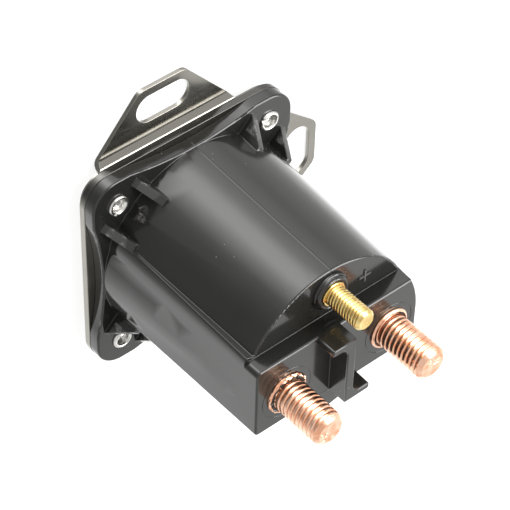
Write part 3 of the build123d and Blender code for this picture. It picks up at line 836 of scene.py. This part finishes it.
def makeRivetTree(values):      # four of one rivet, each rim a little uneven, one split and one nicked
    graph, size = startTree("rivets", values)
    rivet = graph.tree.nodes["Group Input"].outputs["Geometry"]
    local = graph.node("GeometryNodeInputPosition", {}, {})
    kept = graph.node("GeometryNodeStoreNamedAttribute", {"data_type": "FLOAT_VECTOR", "domain": "POINT"}, {
        "Geometry": Wire(graph, rivet), "Name": "ownPlace", "Value": local,
    })
    corners = graph.node("GeometryNodeMeshGrid", {}, {
        "Size X": size["Pitch"], "Size Y": size["Pitch"], "Vertices X": 2, "Vertices Y": 2,
    })
    placed = graph.node("GeometryNodeInstanceOnPoints", {}, {"Points": corners, "Instance": kept})
    real = graph.node("GeometryNodeRealizeInstances", {}, {0: placed})
    place = graph.node("GeometryNodeInputPosition", {}, {})
    own = graph.node("GeometryNodeInputNamedAttribute", {"data_type": "FLOAT_VECTOR"}, {"Name": "ownPlace"})
    rim = own.part("Z").band(size["Rim Base"], size["Rim Top"])
    angle = own.part("Y").math("ARCTAN2", own.part("X"))
    middle = graph.node("ShaderNodeVectorMath", {"operation": "SUBTRACT"}, {0: place, 1: own})

    def atCorner(label):
        ends = {0: middle, 1: size[label]}
        return graph.node("ShaderNodeVectorMath", {"operation": "DISTANCE"}, ends).math("LESS_THAN", mm)

    split = atCorner("Split Corner") * rim
    notch = atCorner("Notch Corner") * rim
    drop = split * wedge(angle, size["Split Angle"], size["Split Width"]) * size["Split Depth"]
    drop = drop + notch * wedge(angle, size["Notch Angle"], size["Notch Width"]) * size["Notch Depth"]
    beside = wedge(angle, size["Split Angle"] + rivetMarks["flareAside"], rivetMarks["flareWidth"])
    spread = split * size["Flare"] * (1 + beside)
    reach = (own.part("X") * own.part("X") + own.part("Y") * own.part("Y")).math("SQRT") / size["Bore"]
    nearRim = own.part("Z").math("GREATER_THAN", size["Rim Base"] - mm)
    inBore = (1 - reach.band(*rivetMarks["boreEdge"])) * nearRim
    wobblePlace = graph.node("ShaderNodeVectorMath", {"operation": "ADD"}, {
        0: place, 1: graph.node("ShaderNodeCombineXYZ", {}, {0: 0.0, 1: 0.0, 2: size["Seed"]}),
    })
    wobbleInputs = {"Vector": wobblePlace, "Scale": size["Wobble Scale"], "Detail": 2.0}
    lumpInputs = {"Vector": wobblePlace, "Scale": size["Lump Scale"], "Detail": 3.0}
    wobble = graph.node("ShaderNodeTexNoise", {}, wobbleInputs)
    rubble = graph.node("ShaderNodeTexNoise", {}, lumpInputs)
    lumps = (rubble - rivetMarks["rubbleMiddle"]) * size["Floor Lumps"] * inBore
    outward = (wobble - rivetMarks["wobbleMiddle"]) * size["Wobble"] * rim + spread
    sunk = (wobble - rivetMarks["wobbleDrop"]) * size["Wobble"] * rim - drop
    moved = graph.node("ShaderNodeCombineXYZ", {}, {
        0: angle.math("COSINE") * outward,
        1: angle.math("SINE") * outward,
        2: sunk.math("MINIMUM", 0.0) + lumps,
    })
    bent = graph.node("GeometryNodeSetPosition", {}, {"Geometry": real, "Offset": moved})
    return finishTree(graph, bent, "rivet_steel")


def makeRivets():
    mesh = bpy.data.meshes.new("rivet")
    template = turned(rivetProfile(rivetShape), columns=72)
    template.to_mesh(mesh)
    template.free()
    shape = bmesh.new()
    addMesh(shape, growTree(makeRivetTree(rivetPlaces), rivetPlaces, mesh))
    addPiece("rolledRivets", shape, "rivet_steel", ("flange_rivets",))


makeRivets()


# Raised plus sign on the ledge, beside the right stud

plusSign = {
    "centre": (9.9, 14.6),
    "arm": 1.65,
    "halfWidth": 0.24,
    "ledge": 51.0,
    "root": 0.1,
    "height": 0.3,
    "edge": 0.09,
}


def makePlusSign(values):
    arm, half = values["arm"], values["halfWidth"]
    quarter = [(half, half), (half, arm), (-half, arm)]
    outline = []
    for turn in range(4):
        quarterTurn = Matrix.Rotation(math.pi / 2 * turn, 2)
        outline += [quarterTurn @ Vector(point) for point in quarter]
    shape = bmesh.new()
    base = Vector((*values["centre"], values["ledge"] - values["root"]))
    face = shape.faces.new([shape.verts.new((base + point.to_3d()) * mm) for point in outline])
    grown = bmesh.ops.extrude_face_region(shape, geom=[face])
    lifted = [part for part in grown["geom"] if isinstance(part, bmesh.types.BMVert)]
    bmesh.ops.translate(shape, verts=lifted, vec=(0, 0, (values["height"] + values["root"]) * mm))
    bmesh.ops.recalc_face_normals(shape, faces=shape.faces)
    top = max(vertex.co.z for vertex in shape.verts)
    edges = [edge for edge in shape.edges if all(v.co.z > top - 0.01 * mm for v in edge.verts)]
    bmesh.ops.bevel(shape, geom=edges, offset=values["edge"] * mm, segments=2, affect="EDGES")
    addPiece("plusSign", shape, "black_moulding", finish=makeSatinMoulding(satinMoulding))


makePlusSign(plusSign)


# Rounded ring moulded round the coil stud's neck

bossRing = {
    "inner": 3.08,
    "outer": 4.25,
    "base": 50.95,
    "shoulder": 51.75,
    "top": 52.6,
    "step": 0.32,
}


def makeBossRing(values, place):
    inner, outer, base, top = values["inner"], values["outer"], values["base"], values["top"]
    shoulder, step = values["shoulder"], values["step"]
    outline = [
        (inner, base), (outer + step, base), (outer + step, shoulder - 0.35),
        (outer + step - 0.08, shoulder - 0.12), (outer + step - 0.25, shoulder),
        (outer + 0.02, shoulder + 0.02),
    ]
    crown = (inner + outer) / 2
    halfWidth = (outer - inner) / 2
    steps = 10
    for turn in range(steps + 1):      # the ring's round top
        angle = math.pi * turn / steps
        height = (top - shoulder) * math.sin(angle)
        outline.append((crown + halfWidth * math.cos(angle), shoulder + height))
    outline.append((inner, base))
    addPiece("bossRing", turned(outline, columns=96, place=place), "black_moulding")


makeBossRing(bossRing, coilStudPlace)


# The housing and the sheet steel with their edges broken, so that each edge catches the light

edgeBreaks = {
    "housing": {"name": "mouldedHousing", "width": 0.16 * mm},
    "end_plate": {"name": "steelEndPlate", "width": 0.14 * mm},
    "mounting_bracket": {"name": "slottedBracket", "width": 0.12 * mm},
}
breakLimits = {
    "weld": 0.001 * mm,
    "flat": 0.4,      # degrees between triangles of one flat face
    "corner": 34,
    "sharp": 50,
    "length": 1.2,      # shortest edge and narrowest face beside it, in widths of the break
    "room": 1.8,
}


def isBroken(edge, width):      # a real corner, with room for the break on both sides
    if len(edge.link_faces) != 2 or edge.calc_face_angle() < math.radians(breakLimits["corner"]):
        return False
    length = edge.calc_length()
    if length < breakLimits["length"] * width:
        return False
    return min(face.calc_area() / length for face in edge.link_faces) > breakLimits["room"] * width


def breakEdges(nodeName, values):
    shape = bmesh.new()
    shape.from_mesh(frame["nodes"][nodeName].data)
    bmesh.ops.remove_doubles(shape, verts=shape.verts, dist=breakLimits["weld"])
    flat = math.radians(breakLimits["flat"])
    bmesh.ops.dissolve_limit(shape, angle_limit=flat, verts=shape.verts, edges=shape.edges)
    corners = [edge for edge in shape.edges if isBroken(edge, values["width"])]
    bmesh.ops.bevel(shape, geom=corners, offset=values["width"], segments=2, profile=0.5, affect="EDGES")
    mesh = bpy.data.meshes.new(values["name"])
    shape.to_mesh(mesh)
    shape.free()
    mesh.shade_smooth()
    mesh.set_sharp_from_angle(angle=math.radians(breakLimits["sharp"]))
    holder = bpy.data.objects.new(values["name"], mesh)
    bpy.context.scene.collection.objects.link(holder)
    evened = holder.modifiers.new("flats", "WEIGHTED_NORMAL")      # flat faces stay flat beside the breaks
    evened.weight = 100
    evened.keep_sharp = True
    depsgraph = bpy.context.evaluated_depsgraph_get()
    broken = bpy.data.meshes.new_from_object(holder.evaluated_get(depsgraph), depsgraph=depsgraph)
    holder.modifiers.clear()
    holder.data = broken
    slotName = nodeSlots[nodeName]
    broken.materials.clear()
    broken.materials.append(finishes[slotName])
    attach(holder, "relay")
    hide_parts(nodeName)
    print(values["name"], len(broken.polygons), "faces")


for nodeName, edgeValues in edgeBreaks.items():
    breakEdges(nodeName, edgeValues)


# Floor and background

floorPaper = {
    "colour": (0.3, 0.3, 0.3, 1),
    "glow": 0.8,      # seen by the camera only, so that the paper is white round the object
    "reach": 6.0,
    "below": 0.2 * mm,
}


def makeFloor(values):
    material, graph = startMaterial("floorPaper")
    camera = graph.node("ShaderNodeLightPath", {}, {})
    lit = graph.node("ShaderNodeBsdfDiffuse", {}, {"Color": values["colour"]})
    glow = graph.node("ShaderNodeEmission", {}, {"Strength": camera * values["glow"]})
    both = graph.node("ShaderNodeAddShader", {}, {0: lit, 1: glow})
    graph.node("ShaderNodeOutputMaterial", {}, {"Surface": both})
    mesh = bpy.data.meshes.new("floor")
    reach = values["reach"]
    level = cadBounds[0].z - values["below"]
    corners = ((-reach, -reach), (reach, -reach), (reach, reach), (-reach, reach))
    mesh.from_pydata([(x, y, level) for x, y in corners], [], [(0, 1, 2, 3)])
    mesh.materials.append(material)
    floor = bpy.data.objects.new("floor", mesh)
    bpy.context.scene.collection.objects.link(floor)
    floor.visible_glossy = False
    floor.visible_shadow = False
    floor.visible_diffuse = False


makeFloor(floorPaper)


# The studio round the object, as light against the compass direction, in degrees from +X

lowLight = {      # what the upright walls reflect
    -180: 0.45, -166: 0.75, -150: 1.0, -124: 1.6, -90: 1.5, -57: 1.7, -42: 1.9, -30: 1.95, -15: 1.5, 0: 1.1,
    36: 1.15, 48: 1.75, 59: 2.2, 71: 3.1, 82: 5.8, 94: 6.2, 106: 3.4, 118: 1.35, 129: 0.85, 141: 0.58,
    152: 0.42, 180: 0.45,
}
highLight = {      # what the faces that look up reflect
    -180: 0.9, -120: 1.0, -80: 1.1, -62: 1.2, -50: 1.5, -30: 1.5, 0: 1.1, 34: 1.0, 128: 1.0, 180: 0.9,
}
edgeBox = {      # a bright window well above the horizon, which only the rounded edges catch
    "fromAzimuth": (-0.9, -0.6),      # radians from +X
    "toAzimuth": (1.3, 1.5),
    "fromHeight": (0.64, 0.7),      # sine of the elevation
    "toHeight": (0.95, 0.99),
    "level": 9.0,
}
skyBands = {
    "horizon": (-0.12, 0.2),      # from the low light to the high one
    "top": (0.72, 0.86),
    "overhead": 0.8,
    "brightest": 8.0,      # no level in lowLight or highLight is above this
}


def lightRamp(graph, azimuth, levels):
    brightest = skyBands["brightest"]
    stops = [((angle + 180) / 360, (level / brightest,) * 3) for angle, level in levels.items()]
    share = (azimuth + math.pi) / (2 * math.pi)
    shade = graph.node("ShaderNodeValToRGB", {"stops": stops}, {0: share})
    return shade * brightest


def makeWorld():
    world = bpy.data.worlds.new("studio")
    bpy.context.scene.world = world
    world.use_nodes = True
    graph = Graph(world.node_tree)
    way = graph.node("ShaderNodeTexCoord", {}, {}, output=0)
    height = way.part("Z")
    azimuth = way.part("Y").math("ARCTAN2", way.part("X"))
    high = height.band(*skyBands["horizon"])
    above = height.band(*skyBands["top"])
    level = lightRamp(graph, azimuth, lowLight) * (1 - high) + lightRamp(graph, azimuth, highLight) * high
    level = level * (1 - above) + above * skyBands["overhead"]
    box = azimuth.band(*edgeBox["fromAzimuth"]) * (1 - azimuth.band(*edgeBox["toAzimuth"]))
    box = box * height.band(*edgeBox["fromHeight"]) * (1 - height.band(*edgeBox["toHeight"]))
    level = level + box * edgeBox["level"]
    seen = graph.node("ShaderNodeLightPath", {}, {})
    strength = level * (1 - seen) + seen
    light = graph.node("ShaderNodeBackground", {}, {"Color": (1, 1, 1, 1), "Strength": strength})
    graph.node("ShaderNodeOutputWorld", {}, {"Surface": light})


makeWorld()


# Camera: the photograph's, as azimuth and elevation round the relay's axis

photoCamera = {
    "target": (0, 0, 28 * mm),
    "azimuth": -41.395,
    "elevation": 45.962,
    "roll": 1.713,
    "aside": (-0.061 * mm, -5.960 * mm),
    "distance": 510.083 * mm,
    "lens": 168.0,
    "sensorWidth": 36,
    "clipStart": 0.01,
}


def makeCamera(values):
    azimuth = math.radians(values["azimuth"])
    elevation = math.radians(values["elevation"])
    back = Vector((
        math.sin(azimuth) * math.cos(elevation),
        math.sin(elevation),
        math.cos(azimuth) * math.cos(elevation),
    ))
    right = Vector((0, 1, 0)).cross(back).normalized()
    right = Matrix.Rotation(math.radians(values["roll"]), 3, back) @ right
    up = back.cross(right)
    aside, lift = values["aside"]
    place = Vector(values["target"]) + values["distance"] * back - aside * right - lift * up
    data = bpy.data.cameras.new("photoCamera")
    data.lens = values["lens"]
    data.sensor_width = values["sensorWidth"]
    data.clip_start = values["clipStart"]
    camera = bpy.data.objects.new("photoCamera", data)
    bpy.context.scene.collection.objects.link(camera)
    camera.matrix_world = Matrix.Translation(place) @ Matrix((right, up, back)).transposed().to_4x4()
    bpy.context.scene.camera = camera


makeCamera(photoCamera)
bpy.context.scene.view_settings.view_transform = "Standard"
